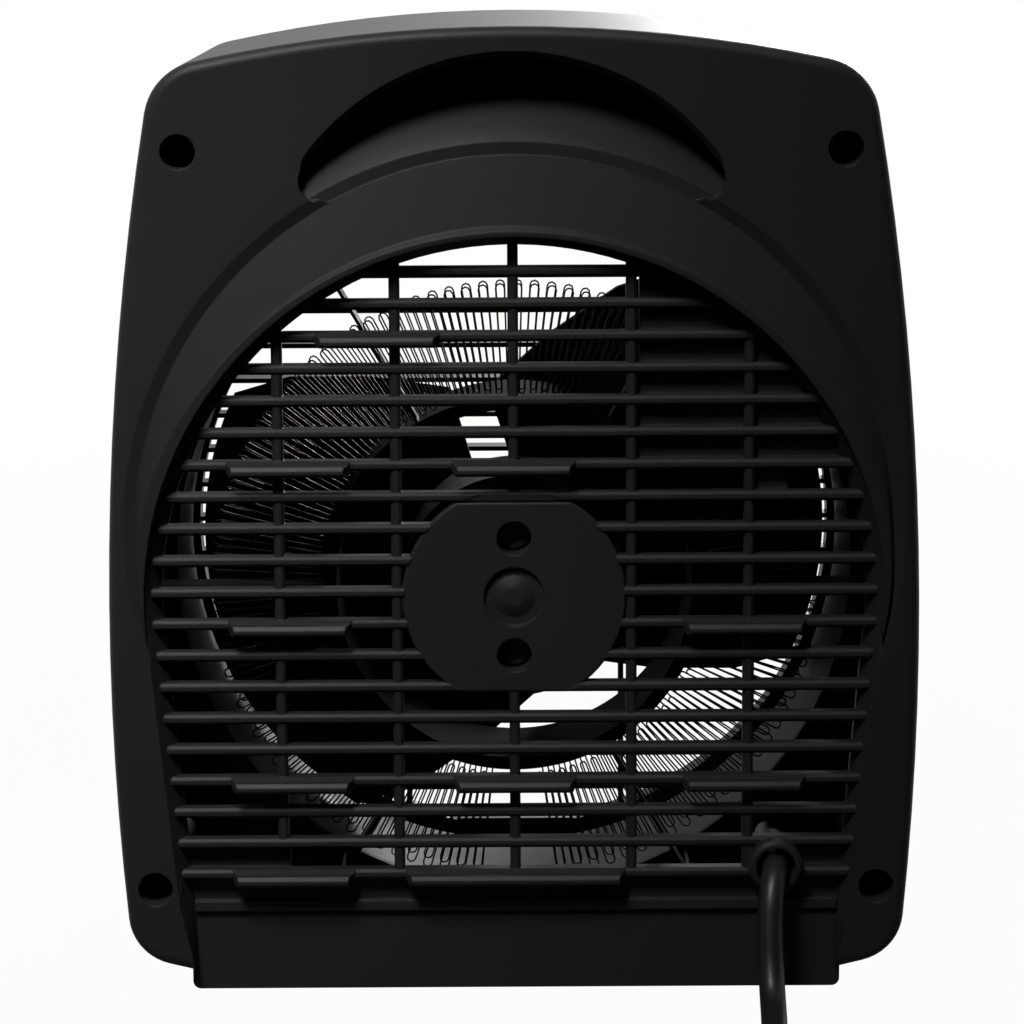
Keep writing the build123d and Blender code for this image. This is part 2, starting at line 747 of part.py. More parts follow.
def baffle_sketch():
    """The black plate deep behind the grille, with its round hole."""
    low, high = BAFFLE_BOTTOM_Z, BAFFLE_TOP_Z
    band = Pos(0, (low + high) / 2) * Rectangle(2 * HALF_WIDTH, high - low)
    plate = case_sketch(WALL + 0.6) & band
    plate -= Pos(0, AXIS_Z) * Circle(BAFFLE_HOLE_R)
    for x, z in SCREW_SPOTS:
        plate -= Pos(x, z) * Circle(BOSS_R + 0.4)
    for side in (-1, 1):
        plate -= Pos(side * BAFFLE_POST_X, BAFFLE_POST_Z) * Circle(1.35)
    for angle in EAR_ANGLES:
        plate -= Pos(*spot(angle, REFLECTOR_R + EAR_REACH)) * Circle(SMALL_SCREW_R + 0.03)
    return plate


def baffle():
    """Baffle plate that the reflector and the element stand on."""
    return one(slab(baffle_sketch(), *BAFFLE_Y))


def spot(angle, radius):
    """X and Z of a point round the fan axis."""
    turn = radians(angle)
    return radius * cos(turn), AXIS_Z + radius * sin(turn)


def reflector_ring():
    """Polished steel tunnel round the fan, with ears against the baffle."""
    y0, y1 = REFLECTOR_Y
    ring = tube(0, AXIS_Z, REFLECTOR_R - REFLECTOR_WALL, REFLECTOR_R, y0, y1)
    ears = []
    for angle in EAR_ANGLES:
        ear = Pos(REFLECTOR_R + 3.6, 0) * Rectangle(8.0, 9.0)
        ear = Pos(0, AXIS_Z) * (Rot(0, 0, angle) * (ear - Pos(REFLECTOR_R + EAR_REACH, 0) * Circle(EAR_HOLE_R)))
        ears.append(slab(ear, y1 - REFLECTOR_WALL, y1))
    return one(ring.fuse(*ears))


def heating_wire(teeth, y):
    """A zigzag heating wire round the axis, open at the bottom for its two ends."""
    step = 180.0 / teeth
    start = int(WIRE_START / step)
    count = int(WIRE_SPAN / step)
    inner, outer = ELEMENT_R
    spread = radians(step) * (inner + outer) / 2
    notch = WIRE_WIDTH / 2 * (outer - inner) / spread
    outward, inward = [], []
    for n in range(start, start + count):
        if n % 2:
            outward.append(spot(n * step, outer + WIRE_WIDTH / 2))
            inward.append(spot(n * step, outer - notch))
        else:
            outward.append(spot(n * step, inner + notch))
            inward.append(spot(n * step, inner - WIRE_WIDTH / 2))
    outline = Polyline(*outward, *inward[::-1], close=True)
    return slab(make_face(outline), y - WIRE_THICK / 2, y + WIRE_THICK / 2)


def element_ring():
    """Dark sleeve round the motor that the wires' inner ends lie against."""
    return tube(0, AXIS_Z, *INNER_RING_R, *INNER_RING_Y)


def mica_spokes():
    """Mica boards from the sleeve outwards between the two wires, each with a leg down to the baffle."""
    low = WIRE_LEVELS[1] + WIRE_THICK / 2 + SEAT_GAP
    high = WIRE_LEVELS[0] - WIRE_THICK / 2 - SEAT_GAP
    inner = INNER_RING_R[1] + SEAT_GAP
    boards = []
    for number in range(SPOKE_COUNT):
        turn = Pos(0, AXIS_Z) * Rot(0, 0, number * 360 / SPOKE_COUNT)
        board = Pos((inner + SPOKE_END_R) / 2, 0) * Rectangle(SPOKE_END_R - inner, SPOKE_THICK)
        leg = Pos(SPOKE_END_R - SPOKE_LEG / 2, 0) * Rectangle(SPOKE_LEG, SPOKE_THICK)
        boards.append(one(slab(turn * board, low, high) + slab(turn * leg, BAFFLE_Y[1] + SEAT_GAP, high)))
    return Compound(children=boards)


def thermal_cutout():
    """Bimetal cutout on the outside of the reflector."""
    body = Pos(REFLECTOR_R + 4.3, 0, 0) * Box(7.6, 12, 16)
    button = Pos(REFLECTOR_R + 0.9, 0, 0) * Rot(0, 90, 0) * Cylinder(5, 1.2)
    return one(place_round(body + button, CUTOUT_ANGLE))


def thermal_fuse():
    """One-shot fuse, a small cylinder along the reflector's outside."""
    barrel = Pos(REFLECTOR_R + 3.0, 0, 0) * Cylinder(2.2, 14)
    leads = Pos(REFLECTOR_R + 3.0, 0, 0) * Cylinder(0.5, 20)
    return one(place_round(barrel + leads, FUSE_ANGLE))


def place_round(shape, angle):
    """Move a shape built on +X, with its length along Z, to an angle round the fan axis."""
    upright = Plane(origin=(0, 0, AXIS_Z), x_dir=(1, 0, 0), z_dir=(0, -1, 0))
    return upright.location * (Rot(0, 0, angle) * shape)


def motor_can():
    """Drawn steel can, closed at the back round the rear bearing's seat."""
    y0, y1 = CAN_Y
    can = rod(0, AXIS_Z, CAN_R, y0, y1) - rod(0, AXIS_Z, CAN_R - CAN_WALL, y0 - 1, y1 - CAN_WALL)
    seat_y = y1 - CAN_WALL - BEARING_LENGTH
    can = can + tube(0, AXIS_Z, BEARING_R, BEARING_R + 1, seat_y, y1 - CAN_WALL)
    holes = [rod(0, AXIS_Z + side * MOTOR_SCREW_DZ, SCREW_R + 0.03, y1 - 2, y1 + 1) for side in (-1, 1)]
    vents = []
    for number in range(VENT_COUNT):
        x, z = spot(45 + number * 360 / VENT_COUNT, 21)
        vents.append(rod(x, z, 3, y1 - 2, y1 + 1))
    return one(can.cut(*holes, *vents))


def motor_end_cap():
    """Front cap of the motor with the front bearing's seat."""
    y0 = CAN_Y[0]
    cap = rod(0, AXIS_Z, CAN_R - CAN_WALL - 0.05, y0, y0 + 1.5)
    cap = cap + rod(0, AXIS_Z, BEARING_R + 1.2, y0 - 3, y0 + 3)
    return one(cap - rod(0, AXIS_Z, BEARING_R, y0 - 5, y0 + 5))


def bearing(y0):
    """Sintered sleeve bearing."""
    return one(tube(0, AXIS_Z, SHAFT_R + BEARING_CLEAR, BEARING_R, y0, y0 + BEARING_LENGTH))


def stator_core():
    """Laminated stator: a ring with four poles that end in curved shoes."""
    inner, outer = STATOR_R
    ring = Circle(outer) - Circle(outer - STATOR_YOKE)
    for number in range(4):
        pole = Pos((inner + outer) / 2 - 1, 0) * Rectangle(outer - inner - 1, POLE_WIDTH)
        shoe = Pos(inner + 1.2, 0) * Rectangle(2.4, POLE_WIDTH + 7)
        ring += Rot(0, 0, number * 90) * (pole + shoe)
    ring -= Circle(inner)
    return one(slab(Pos(0, AXIS_Z) * ring, *STATOR_Y))


def stator_windings():
    """Four windings, one round each pole."""
    length = STATOR_Y[1] - STATOR_Y[0]
    radial = STATOR_R[1] - STATOR_YOKE - STATOR_R[0] - 4.2
    middle = STATOR_R[0] + 2.7 + radial / 2
    loop = Box(radial, POLE_WIDTH + 6.4, length + 5)
    loop = fillet(loop.edges().filter_by(Axis.X), 2.2)
    loop = loop - Box(radial + 1, POLE_WIDTH + 0.3, length + 0.3)
    middle_y = (STATOR_Y[0] + STATOR_Y[1]) / 2
    windings = []
    for number in range(4):
        turned = place_round(Pos(middle, 0, -middle_y) * loop, number * 90)
        windings.append(one(turned))
    return Compound(children=windings)


def rotor_core():
    """Squirrel-cage rotor with its end rings."""
    y0, y1 = STATOR_Y
    core = rod(0, AXIS_Z, ROTOR_R, y0, y1) + rod(0, AXIS_Z, ROTOR_R - 3, y0 - 1.5, y1 + 1.5)
    return one(core - rod(0, AXIS_Z, SHAFT_R, y0 - 5, y1 + 5))


def motor_shaft():
    """Steel shaft from the rear bearing to the fan."""
    return rod(0, AXIS_Z, SHAFT_R, *SHAFT_Y)


def blade_section(radius, chord, pitch):
    """A blade's cross-section at one radius, square to the blade's middle line."""
    plane = Plane(origin=(radius, 0, 0), x_dir=(0, 1, 0), z_dir=(1, 0, 0))
    rise = chord * BLADE_CAMBER
    half = chord / 2
    thick = FAN_BLADE_THICK / 2
    top = ThreePointArc((-half, thick), (0, rise + thick), (half, thick))
    low = ThreePointArc((half, -thick), (0, rise - thick), (-half, -thick))
    ends = Line((half, thick), (half, -thick)) + Line((-half, -thick), (-half, thick))
    return plane * (Rot(0, 0, pitch) * make_face(top + low + ends))


def impeller():
    """Two very broad twisted blades on a hub."""
    hub = Cylinder(HUB_R, HUB_LENGTH)
    sections = [blade_section(*station) for station in BLADE_STATIONS]
    blade = loft(sections, ruled=True) & Cylinder(IMPELLER_R, 60)
    blades = [Rot(0, 0, angle) * blade for angle in BLADE_ANGLES]
    fan = place_round(Pos(0, 0, -IMPELLER_Y) * hub.fuse(*blades), 0)
    return one(fan - rod(0, AXIS_Z, SHAFT_R, IMPELLER_Y - 20, IMPELLER_Y + 20))


def fan_clip():
    """Spring clip that keeps the fan on its shaft."""
    y1 = IMPELLER_Y - HUB_LENGTH / 2 - 0.05
    ring = Circle(4.6) - Circle(SHAFT_R) - Pos(3, 0) * Rectangle(6, 1.6)
    return one(slab(Pos(0, AXIS_Z) * ring, y1 - 0.8, y1))


def screw(x, z, head_y, length, head_r, shank_r):
    """A pan-head screw driven from the back, its head's underside at head_y."""
    height = SCREW_HEAD_H * head_r / SCREW_HEAD_R
    head = rod(x, z, head_r, head_y, head_y + height)
    head = chamfer(head.edges().group_by(Axis.Y)[-1], height / 4)
    return one(head + rod(x, z, shank_r, head_y - length, head_y))


def front_screw(x, z, head_y, length):
    """A small screw driven from the front."""
    head = rod(x, z, SMALL_HEAD_R, head_y - SMALL_HEAD_R / 2, head_y)
    return one(head + rod(x, z, SMALL_SCREW_R, head_y, head_y + length))


def housing_screws():
    """Four long screws that hold the shells together."""
    screws = [screw(x, z, WELL_FLOOR_Y, SCREW_LENGTH, SCREW_HEAD_R, SCREW_R) for x, z in SCREW_SPOTS]
    return Compound(children=screws)


def motor_screws():
    """Two screws through the disc into the motor can, their heads nearly as wide as their wells."""
    spots = [AXIS_Z + side * MOTOR_SCREW_DZ for side in (-1, 1)]
    head_r = WELL_R - 0.2
    return Compound(children=[screw(0, z, MOTOR_WELL_Y, MOTOR_SCREW_LENGTH, head_r, SCREW_R) for z in spots])


def baffle_screws():
    """Two screws that hold the baffle on the rear shell's posts."""
    spots = [side * BAFFLE_POST_X for side in (-1, 1)]
    return Compound(children=[front_screw(x, BAFFLE_POST_Z, BAFFLE_Y[0], 8) for x in spots])


def reflector_screws():
    """Four screws through the reflector's ears into the baffle."""
    y = REFLECTOR_Y[1] - REFLECTOR_WALL
    screws = [front_screw(*spot(angle, REFLECTOR_R + EAR_REACH), y, 2.8) for angle in EAR_ANGLES]
    return Compound(children=screws)


def control_body(x, size, depth):
    """A switch or thermostat body behind the front wall, with its threaded neck."""
    y1 = FRONT_Y + WALL + depth
    half = size / 2
    y0 = FRONT_Y + WALL + SEAT_GAP
    body = block(x - half, x + half, y0, y1, CONTROL_Z - half, CONTROL_Z + half)
    body = chamfer(body.edges().filter_by(Axis.Y), 2.0)
    body = body + rod(x, CONTROL_Z, NECK_R, FRONT_Y + 0.1, FRONT_Y + WALL + 1)
    for side in (-1, 1):
        spade = block(x + side * 6 - 3, x + side * 6 + 3, y1 - 0.5, y1 + 7, CONTROL_Z - 0.4, CONTROL_Z + 0.4)
        body = body + spade
    return one(body - rod(x, CONTROL_Z, KNOB_SHAFT_R + 0.05, FRONT_Y - 1, SHAFT_END_Y + 1))


def control_shaft(x):
    """The spindle that a knob turns."""
    return rod(x, CONTROL_Z, KNOB_SHAFT_R, KNOB_TIP_Y + 3, SHAFT_END_Y)


def control_knob(x):
    """A round knob with a grip bar across it and a pointer groove."""
    skirt = rod(x, CONTROL_Z, KNOB_R, KNOB_BACK_Y - KNOB_SKIRT, KNOB_BACK_Y)
    skirt = chamfer(skirt.edges().group_by(Axis.Y)[0], 1.0)
    half = GRIP_WIDTH / 2
    grip = block(x - half, x + half, KNOB_TIP_Y, KNOB_BACK_Y - 2, CONTROL_Z - KNOB_R, CONTROL_Z + KNOB_R)
    grip = chamfer(grip.edges().group_by(Axis.Y)[0], 1.2)
    knob = skirt + (grip & rod(x, CONTROL_Z, KNOB_R - 0.8, KNOB_TIP_Y - 1, KNOB_BACK_Y))
    knob = knob - block(x - 0.6, x + 0.6, KNOB_TIP_Y - 1, KNOB_TIP_Y + 0.5, CONTROL_Z + 6, CONTROL_Z + KNOB_R)
    return one(knob - rod(x, CONTROL_Z, KNOB_SHAFT_R, KNOB_TIP_Y + 3, KNOB_BACK_Y + 1))


def indicator_lens():
    """Round lens of the indicator light, with a sleeve that holds the lamp."""
    lens = rod(0, LENS_Z, LENS_R, FRONT_Y - 0.8, FRONT_Y + WALL + 1)
    lens = chamfer(lens.edges().group_by(Axis.Y)[0], 0.6)
    lens = lens + rod(0, LENS_Z, LENS_R + 1.2, FRONT_Y + WALL + SEAT_GAP, LENS_BACK_Y)
    return one(lens - rod(0, LENS_Z, LAMP_R + 0.1, FRONT_Y + WALL, LENS_BACK_Y + 1))


def neon_lamp():
    """Small glass lamp with two leads."""
    glass = rod(0, LENS_Z, LAMP_R, FRONT_Y + WALL + 1.5, LENS_BACK_Y + 1)
    glass = chamfer(glass.edges().group_by(Axis.Y)[0], LAMP_R / 2)
    half = LAMP_LEAD / 2
    for x in (-LAMP_LEAD_X, LAMP_LEAD_X):
        glass = glass + block(x - half, x + half, LENS_BACK_Y, LENS_BACK_Y + 9, LENS_Z - half, LENS_Z + half)
    return one(glass)


def terminal_block():
    """Three-way terminal block on the floor of the base."""
    x0, x1 = BLOCK_X
    z0 = FOOT_HEIGHT + WALL + 0.05
    body = block(x0, x1, *BLOCK_Y, z0, z0 + 9)
    body = chamfer(body.edges().filter_by(Axis.X).group_by(Axis.Z)[-1], 1.2)
    for number in range(3):
        x = x0 + (number + 0.5) * (x1 - x0) / 3
        body = body - Pos(x, (BLOCK_Y[0] + BLOCK_Y[1]) / 2, z0 + 8) * Cylinder(2.0, 6)
    return one(body)


def cord_clamp():
    """Clamp that grips the cord inside the collar."""
    y1 = PANEL_INNER_Y - 1.5
    x0, x1 = GLAND_X - CLAMP_SIZE, GLAND_X + CLAMP_SIZE
    body = block(x0, x1, y1 - CLAMP_THICK, y1, GLAND_Z - CLAMP_SIZE, GLAND_Z + CORD_R + 1)
    body = chamfer(body.edges().filter_by(Axis.Y), 0.8)
    return one(body - rod(GLAND_X, GLAND_Z, CORD_R, y1 - 8, y1 + 2))


def cord_tail():
    """The stripped end of the cord inside the casing."""
    return rod(GLAND_X, GLAND_Z, CORD_R, TAIL_Y, CORD_START_Y)


def arc_radii(points):
    """Radius of each bend: 0.45 of the shorter run beside it, divided by the tangent of half the turn."""
    radii = []
    for before, at, after in zip(points, points[1:], points[2:]):
        first = Vector(*at) - Vector(*before)
        second = Vector(*after) - Vector(*at)
        turn = radians(first.get_angle(second))
        radii.append(0.45 * min(first.length, second.length) / tan(turn / 2))
    return radii


def swept_tube(points, radius, sides):
    """A many-sided tube along straight runs joined by tangent arcs, and its path's length."""
    path = FilletPolyline(*points, radius=arc_radii(points))
    start = Plane(origin=path @ 0, z_dir=path % 0)
    solid = sweep(start * RegularPolygon(radius, sides), path)
    return one(solid), path.length


def section_area(radius, sides):
    """Area of a many-sided section whose corners lie on a circle."""
    return sides / 2 * radius**2 * sin(2 * pi / sides)


def inner_leads():
    """Insulated leads from the cord to the terminal block and on to the controls."""
    leads = [swept_tube(route, LEAD_R, LEAD_SIDES)[0] for route in LEAD_ROUTES]
    return Compound(children=leads)


def power_cord():
    """The cord's free stretch, out of the collar, down and along the floor to the coil."""
    solid, length = swept_tube(CORD_ROUTE, CORD_R, CORD_SIDES)
    radii = ", ".join(f"{radius:.1f}" for radius in arc_radii(CORD_ROUTE))
    print(f"cord stretch {length:.1f} mm, bend radii {radii}")
    share = solid.volume / (section_area(CORD_R, CORD_SIDES) * length)
    print(f"cord volume against section times length {share:.4f}")
    return solid, length


def coil_stations():
    """Where the coil crosses its own X line: place, height and side, half a turn apart."""
    xs = [COIL_FIRST_X - COIL_STEP * n for n in range(COIL_LOW_TURNS + 1)]
    stations = [(x if n % 2 == 0 else -x, CORD_Z) for n, x in enumerate(xs)]
    inner = xs[-1] - COIL_STEP
    high = CORD_Z + COIL_LAYER_RISE
    stations.append((inner, high))
    reach = inner + 3 * COIL_STEP
    for n in range(COIL_HIGH_TURNS):
        side = -1 if n % 2 == 0 else 1
        stations.append((side * reach, high))
        reach = reach - COIL_STEP if n % 2 == 0 else reach + 3 * COIL_STEP
    return [(COIL_SIDE * x, z) for x, z in stations]


def coil_path():
    """Half circles from station to station; the one that climbs a layer leans, so it starts and ends level."""
    x0 = CORD_ROUTE[-1][0] - COIL_SIDE * COIL_FIRST_X
    y0 = CORD_ROUTE[-1][1]
    stations = coil_stations()
    arcs = []
    for n, ((xa, za), (xb, zb)) in enumerate(zip(stations, stations[1:])):
        bulge = (1 if n % 2 == 0 else -1) * sqrt((xb - xa) ** 2 + (zb - za) ** 2) / 2
        middle = (x0 + (xa + xb) / 2, y0 + bulge, (za + zb) / 2)
        arcs.append(ThreePointArc((x0 + xa, y0, za), middle, (x0 + xb, y0, zb)))
    last_x, last_z = stations[-1]
    direction = 1 if len(arcs) % 2 == 0 else -1
    tail_end = (x0 + last_x, y0 + direction * COIL_TAIL, last_z)
    arcs.append(Line((x0 + last_x, y0, last_z), tail_end))
    return Wire(arcs)


def coil_gap(path):
    """Least gap between turns, measured on points along the path."""
    count = 900
    points = [path @ (n / count) for n in range(count + 1)]
    step = path.length / count
    skip = int(4 * CORD_R * 2 / step)
    least = 1e9
    for n, a in enumerate(points):
        for b in points[n + skip:]:
            least = min(least, (a - b).length)
    return least - 2 * CORD_R


def cord_coil():
    """The rest of the cord, wound in a neat coil of two layers."""
    path = coil_path()
    start = Plane(origin=path @ 0, z_dir=path % 0)
    solid = one(sweep(start * RegularPolygon(CORD_R, CORD_SIDES), path))
    print(f"coil {path.length:.1f} mm in {len(path.edges()) - 1} half turns, least gap {coil_gap(path):.2f} mm")
    return solid, path


def plug_relief(path):
    """Tapered sleeve between the coil's end and the plug."""
    end = path @ 1
    plane = Plane(origin=end, z_dir=path % 1)
    near = plane * Circle(PLUG_RELIEF_R[0])
    far = plane.offset(PLUG_RELIEF_LENGTH) * Circle(PLUG_RELIEF_R[1])
    return one(loft([near, far]))


def plug_body(path):
    """Moulded straight plug that lies beside the coil."""
    plane = Plane(origin=path @ 1, x_dir=(1, 0, 0), z_dir=path % 1).offset(PLUG_RELIEF_LENGTH)
    end = Rectangle(PLUG_WIDTH, PLUG_HEIGHT)
    end = chamfer(end.vertices(), PLUG_CHAMFER)
    small = plane * scale(end, PLUG_NECK)
    wide = plane.offset(PLUG_GRIP_LENGTH) * end
    grip = loft([small, wide], ruled=True)
    return one(grip + extrude(wide, PLUG_LENGTH - PLUG_GRIP_LENGTH))


def plug_blades(path):
    """Two flat blades and a round earth pin."""
    plane = Plane(origin=path @ 1, x_dir=(1, 0, 0), z_dir=path % 1)
    face = plane.offset(PLUG_RELIEF_LENGTH + PLUG_LENGTH)
    blades = []
    for side in (-1, 1):
        flat = Pos(side * BLADE_DX, BLADE_DY) * Rectangle(BLADE_THICK, BLADE_WIDTH)
        blades.append(one(extrude(face * flat, BLADE_LENGTH)))
    pin = Pos(0, EARTH_PIN_DY) * Circle(EARTH_PIN_R)
    blades.append(one(extrude(face * pin, BLADE_LENGTH + EARTH_PIN_EXTRA)))
    return Compound(children=blades)


def build_all():
    """Every sub-part by name."""
    parts = {
        "rear_housing": one(rear_housing()),
        "front_housing": one(front_housing()),
        "front_grille": front_grille(),
        "baffle_plate": baffle(),
        "reflector_ring": reflector_ring(),
        "element_ring": one(element_ring()),
        "mica_spokes": mica_spokes(),
        "heating_wire_low": one(heating_wire(ELEMENT_TEETH, WIRE_LEVELS[0])),
        "heating_wire_high": one(heating_wire(BACK_TEETH, WIRE_LEVELS[1])),
        "thermal_cutout": thermal_cutout(),
        "thermal_fuse": thermal_fuse(),
        "motor_can": motor_can(),
        "motor_end_cap": motor_end_cap(),
        "rear_bearing": bearing(CAN_Y[1] - CAN_WALL - BEARING_LENGTH),
        "front_bearing": bearing(CAN_Y[0] - BEARING_LENGTH / 2),
        "stator_core": stator_core(),
        "stator_windings": stator_windings(),
        "rotor_core": rotor_core(),
        "motor_shaft": motor_shaft(),
        "impeller": impeller(),
        "fan_clip": fan_clip(),
        "housing_screws": housing_screws(),
        "motor_screws": motor_screws(),
        "baffle_screws": baffle_screws(),
        "reflector_screws": reflector_screws(),
        "thermostat_body": control_body(CONTROL_X, CONTROL_BODY, 20),
        "thermostat_shaft": control_shaft(CONTROL_X),
        "thermostat_knob": control_knob(CONTROL_X),
        "selector_body": control_body(-CONTROL_X, CONTROL_BODY - 3, 18),
        "selector_shaft": control_shaft(-CONTROL_X),
        "selector_knob": control_knob(-CONTROL_X),
        "indicator_lens": indicator_lens(),
        "neon_lamp": neon_lamp(),
        "terminal_block": terminal_block(),
        "cord_clamp": cord_clamp(),
        "cord_tail": cord_tail(),
        "inner_leads": inner_leads(),
    }
    cord, cord_length = power_cord()
    coil, path = cord_coil()
    print(f"whole cord outside the collar {cord_length + path.length:.0f} mm")
    parts["power_cord"] = cord
    parts["cord_coil"] = coil
    parts["plug_relief"] = plug_relief(path)
    parts["plug_body"] = plug_body(path)
    parts["plug_blades"] = plug_blades(path)
    return parts


if __name__ == "__main__":
    os.makedirs("parts", exist_ok=True)
    for name, shape in build_all().items():
        export_step(shape, f"parts/{name}.step")
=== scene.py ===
"""Looks of the portable fan heater, seen from its back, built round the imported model."""

import json
from math import cos, pi, radians, sin

import bpy
from mathutils import Matrix, Vector


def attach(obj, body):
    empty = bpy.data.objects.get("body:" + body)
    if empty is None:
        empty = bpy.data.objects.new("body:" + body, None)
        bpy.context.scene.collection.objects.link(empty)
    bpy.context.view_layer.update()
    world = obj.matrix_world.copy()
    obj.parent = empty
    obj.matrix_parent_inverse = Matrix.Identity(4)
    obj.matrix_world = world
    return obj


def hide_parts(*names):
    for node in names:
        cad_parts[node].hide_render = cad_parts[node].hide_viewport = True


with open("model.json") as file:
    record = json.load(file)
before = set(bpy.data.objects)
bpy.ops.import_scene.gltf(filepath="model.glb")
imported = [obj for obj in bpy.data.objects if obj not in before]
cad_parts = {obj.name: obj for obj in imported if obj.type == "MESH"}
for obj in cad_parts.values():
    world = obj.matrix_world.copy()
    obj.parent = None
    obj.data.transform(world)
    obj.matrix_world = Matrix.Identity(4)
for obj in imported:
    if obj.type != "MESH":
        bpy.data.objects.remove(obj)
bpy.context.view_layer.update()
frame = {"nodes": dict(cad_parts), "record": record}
NODES = frame["nodes"]
BODIES = frame["record"]["behaviour"]["bodies"]
BODY_OF = {node: body for body, members in BODIES.items() for node in members}

# Camera, fitted to the photograph with a small lens shift, in metres
CAMERA_AT = (0.0002, 0.8846, 0.3034)
CAMERA_DOWN = radians(8.0)
CAMERA_ROLL = radians(-0.31)
LENS_MM = 109.63
SENSOR_MM = 36.0
SHIFT_Y = -0.1836
NEAREST_SEEN = 0.02

# Places shared with the model, in metres
AXIS_Z = 0.1124
CORD_R = 0.0035
CORD_FLOOR = 0.00355
CORD_BEVEL = 6
CORD_STEPS = 8
CORD_ORDER = 3
CORD_ROUTE = (
    (-0.0712, 0.0545, 0.0373),
    (-0.0712, 0.0590, 0.0373),
    (-0.0704, 0.0646, 0.0359),
    (-0.0693, 0.0686, 0.0312),
    (-0.0687, 0.0716, 0.0236),
    (-0.0688, 0.0754, 0.0130),
    (-0.0689, 0.0816, 0.0056),
    (-0.0684, 0.0924, CORD_FLOOR),
    (-0.0668, 0.1070, CORD_FLOOR),
    (-0.0636, 0.1250, CORD_FLOOR),
    (-0.0593, 0.1440, CORD_FLOOR),
    (-0.0556, 0.1630, CORD_FLOOR),
    (-0.0540, 0.1830, CORD_FLOOR),
)
COIL_STEP = 0.0038
COIL_RISE = 0.0078
COIL_FIRST_X = 0.046
COIL_SIDE = -1
COIL_LOW_TURNS = 5
COIL_HIGH_TURNS = 6
COIL_STEPS_OUT = 3
COIL_TAIL = 0.008
POINTS_PER_HALF_TURN = 8

# Heating wires: inner and outer reach, levels, thickness and loops
WIRE_REACH = (0.0536, 0.0839)
WIRE_LEVELS = {"heating_wire_low": 0.0430, "heating_wire_high": 0.0350}
WIRE_R = 0.00026
WIRE_LOOPS = 110
WIRE_START = radians(275)
WIRE_SPAN = radians(350)
BEND_POINTS = 5
WIRE_BEVEL = 1

# Finishes: the noises, reach of the colour drift and depth of the grain
SHADE_SCALE = 28.0
SHADE_DETAIL = 4.0
FINE_DETAIL = 2.0
NOISE_ROUGH = 0.6
GRAIN_ROUGH = 0.5
GLOSS_SCALE = 160.0
METAL_SHADE_SCALE = 60.0
METAL_GLOSS_SCALE = 300.0
METAL_GRAIN_SCALE = 900.0
LENS_RIB_SCALE = 900.0
GLASS_WAVE_SCALE = 500.0
DRIFT_FROM = 0.35
DRIFT_TO = 0.65
GRAIN_DEPTH = 0.0001
EDGE_SAMPLES = 4

# Key light: its direction and centre, and each beam's distance, lamp size, aim, watts and width in degrees
KEY_SIDE = radians(30)
KEY_UP = radians(55)
KEY_CENTRE = Vector((0.0, 0.05, 0.14))
KEY_BEAMS = {
    "key_top": (1.1, 0.45, (0.115, 0.05, 0.31), 1.35, 28),
    "key_side": (0.7, 0.18, (0.165, 0.05, 0.20), 0.16, 28),
    "key_low": (1.1, 0.18, (0.165, 0.05, 0.07), 0.05, 11),
}

# Lamp for the front, which the photograph doesn't show
OUTLET_LAMP_AT = (-0.4, -1.1, 0.55)
OUTLET_LAMP_AIM = (0, -0.05, 0.13)
OUTLET_LAMP_SIZE = 0.5
OUTLET_LAMP_WATTS = 3.0
OUTLET_LAMP_WIDTH = 50

# Floor and backdrop: how white they look, near and far, and the Y values where mirrors begin to see them
WORLD_LIGHT = 0.012
FLOOR_REACH = 6.0
FLOOR_GREY = 0.12
FLOOR_ROUGH = 0.9
FLOOR_GLOSS = 0.1
FLOOR_WHITE_NEAR = 0.97
FLOOR_WHITE_NEAR_R = 0.25
FLOOR_WHITE_FAR_R = 0.90
FLOOR_BACKDROP = (0.06, -0.02)
WORLD_BACKDROP = (0.15, -0.15)


def node_tree(name):
    """A new material, its nodes and its shader."""
    material = bpy.data.materials.new(name)
    material.use_nodes = True
    tree = material.node_tree
    return material, tree, tree.nodes["Principled BSDF"]


def add_noise(tree, scale, detail=FINE_DETAIL, rough=NOISE_ROUGH):
    """A noise in object space."""
    place = tree.nodes.new("ShaderNodeTexCoord")
    noise = tree.nodes.new("ShaderNodeTexNoise")
    noise.inputs["Scale"].default_value = scale
    noise.inputs["Detail"].default_value = detail
    noise.inputs["Roughness"].default_value = rough
    tree.links.new(place.outputs["Object"], noise.inputs["Vector"])
    return noise.outputs["Fac"]


def add_bump(tree, shader, height, strength):
    """Feed a height into the shader's normal."""
    bump = tree.nodes.new("ShaderNodeBump")
    bump.inputs["Strength"].default_value = strength
    bump.inputs["Distance"].default_value = GRAIN_DEPTH
    tree.links.new(height, bump.inputs["Height"])
    tree.links.new(bump.outputs["Normal"], shader.inputs["Normal"])
    return bump


def add_shade(tree, shader, factor, low, high):
    """Let the shader's colour follow a factor from low to high."""
    ramp = tree.nodes.new("ShaderNodeValToRGB")
    first, last = ramp.color_ramp.elements
    first.position = DRIFT_FROM
    last.position = DRIFT_TO
    first.color = (*low, 1)
    last.color = (*high, 1)
    tree.links.new(factor, ramp.inputs["Fac"])
    tree.links.new(ramp.outputs["Color"], shader.inputs["Base Color"])


def add_range(tree, factor, low, high, start=0.0, end=1.0):
    """A number that goes from low to high while a factor goes from start to end."""
    spread = tree.nodes.new("ShaderNodeMapRange")
    spread.inputs["From Min"].default_value = start
    spread.inputs["From Max"].default_value = end
    spread.inputs["To Min"].default_value = low
    spread.inputs["To Max"].default_value = high
    tree.links.new(factor, spread.inputs["Value"])
    return spread.outputs["Result"]


